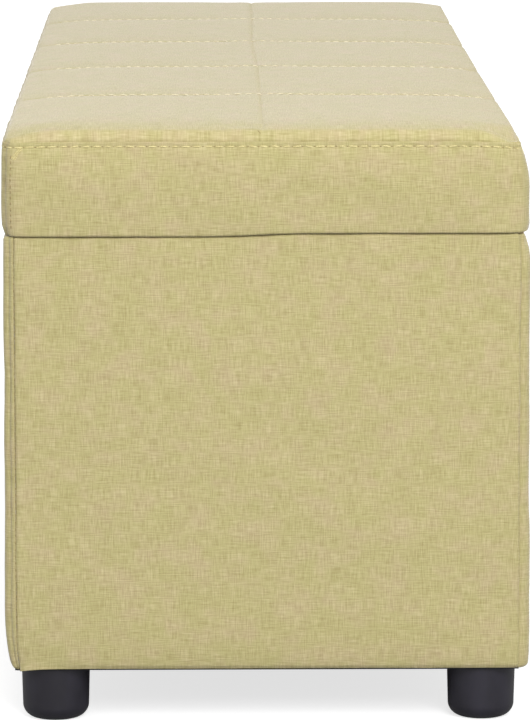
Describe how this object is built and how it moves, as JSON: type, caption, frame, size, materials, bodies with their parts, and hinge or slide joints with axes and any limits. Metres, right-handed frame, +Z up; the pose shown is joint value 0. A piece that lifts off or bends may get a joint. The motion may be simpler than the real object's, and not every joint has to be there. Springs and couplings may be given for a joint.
{
  "type": "storage bench",
  "caption": "Long upholstered storage bench with a rear-hinged lid, quilted padded top, folding lid stays and round feet.",
  "frame": {"origin": "on the floor, under the middle of the bench's outline", "axes": "+X along the bench, -Y the front, +Y the hinge side, +Z up"},
  "size_m": [1.16, 0.383, 0.441],
  "materials": {
    "linen_cloth": "yellow-green linen-look woven polyester, matt",
    "black_nonwoven": "black spunbond lining cloth",
    "foam": "cut polyurethane foam",
    "board": "raw particle board",
    "pine": "planed pine",
    "foot_plastic": "moulded black polypropylene, satin",
    "hinge_zinc": "bright zinc-plated pressed steel",
    "stay_zinc": "bright zinc-plated pressed steel",
    "screw_steel": "zinc-plated wood screw"
  },
  "bodies": {
    "base": {"front_panel": "board", "rear_panel": "board", "left_end_panel": "board", "right_end_panel": "board", "floor_panel": "board", "corner_post_front_left": "pine", "corner_post_front_right": "pine", "corner_post_rear_left": "pine", "corner_post_rear_right": "pine", "frame_screws": "screw_steel", "cover_front": "linen_cloth", "cover_rear": "linen_cloth", "cover_left_end": "linen_cloth", "cover_right_end": "linen_cloth", "storage_lining": "black_nonwoven", "dust_cover": "black_nonwoven", "foot_front_left": "foot_plastic", "foot_front_right": "foot_plastic", "foot_rear_left": "foot_plastic", "foot_rear_right": "foot_plastic", "foot_screws": "screw_steel", "hinge_left_body_leaf": "hinge_zinc", "hinge_left_pin": "hinge_zinc", "hinge_middle_body_leaf": "hinge_zinc", "hinge_middle_pin": "hinge_zinc", "hinge_right_body_leaf": "hinge_zinc", "hinge_right_pin": "hinge_zinc", "hinge_body_screws": "screw_steel", "left_stay_base_plate": "stay_zinc", "left_stay_base_rivet": "stay_zinc", "right_stay_base_plate": "stay_zinc", "right_stay_base_rivet": "stay_zinc", "stay_base_screws": "screw_steel"},
    "lid": {"lid_board": "board", "seat_foam": "foam", "quilted_top": "linen_cloth", "seat_side_band": "linen_cloth", "lid_lining": "black_nonwoven", "hinge_left_lid_leaf": "hinge_zinc", "hinge_middle_lid_leaf": "hinge_zinc", "hinge_right_lid_leaf": "hinge_zinc", "hinge_lid_screws": "screw_steel", "stay_bracket_screws": "screw_steel", "left_stay_lid_bracket": "stay_zinc", "left_stay_lid_rivet": "stay_zinc", "right_stay_lid_bracket": "stay_zinc", "right_stay_lid_rivet": "stay_zinc"},
    "left_lower_arm": {"left_stay_lower_arm": "stay_zinc"},
    "left_upper_arm": {"left_stay_upper_arm": "stay_zinc", "left_stay_elbow_rivet": "stay_zinc"},
    "right_lower_arm": {"right_stay_lower_arm": "stay_zinc"},
    "right_upper_arm": {"right_stay_upper_arm": "stay_zinc", "right_stay_elbow_rivet": "stay_zinc"}
  },
  "joints": [
    {"name": "lid_hinge", "type": "hinge", "parent": "base", "child": "lid", "pos_m": [0, 0.1885, 0.3598], "axis": [-1, 0, 0], "range_deg": [0, 100]},
    {"name": "left_lower_pivot", "type": "hinge", "parent": "base", "child": "left_lower_arm", "pos_m": [0, 0.1105, 0.2238], "axis": [-1, 0, 0], "range_deg": [0, 103.93]},
    {"name": "left_upper_pivot", "type": "hinge", "parent": "lid", "child": "left_upper_arm", "pos_m": [0, 0.0545, 0.3458], "axis": [-1, 0, 0], "range_deg": [-102.74, 0]},
    {"name": "right_lower_pivot", "type": "hinge", "parent": "base", "child": "right_lower_arm", "pos_m": [0, 0.1105, 0.2238], "axis": [-1, 0, 0], "range_deg": [0, 103.93]},
    {"name": "right_upper_pivot", "type": "hinge", "parent": "lid", "child": "right_upper_arm", "pos_m": [0, 0.0545, 0.3458], "axis": [-1, 0, 0], "range_deg": [-102.74, 0]}
  ],
  "couplings": [
    {"joint": "left_lower_pivot", "follows": "lid_hinge", "ratio": 1.0393},
    {"joint": "left_upper_pivot", "follows": "lid_hinge", "ratio": -1.0274},
    {"joint": "right_lower_pivot", "follows": "lid_hinge", "ratio": 1.0393},
    {"joint": "right_upper_pivot", "follows": "lid_hinge", "ratio": -1.0274}
  ]
}
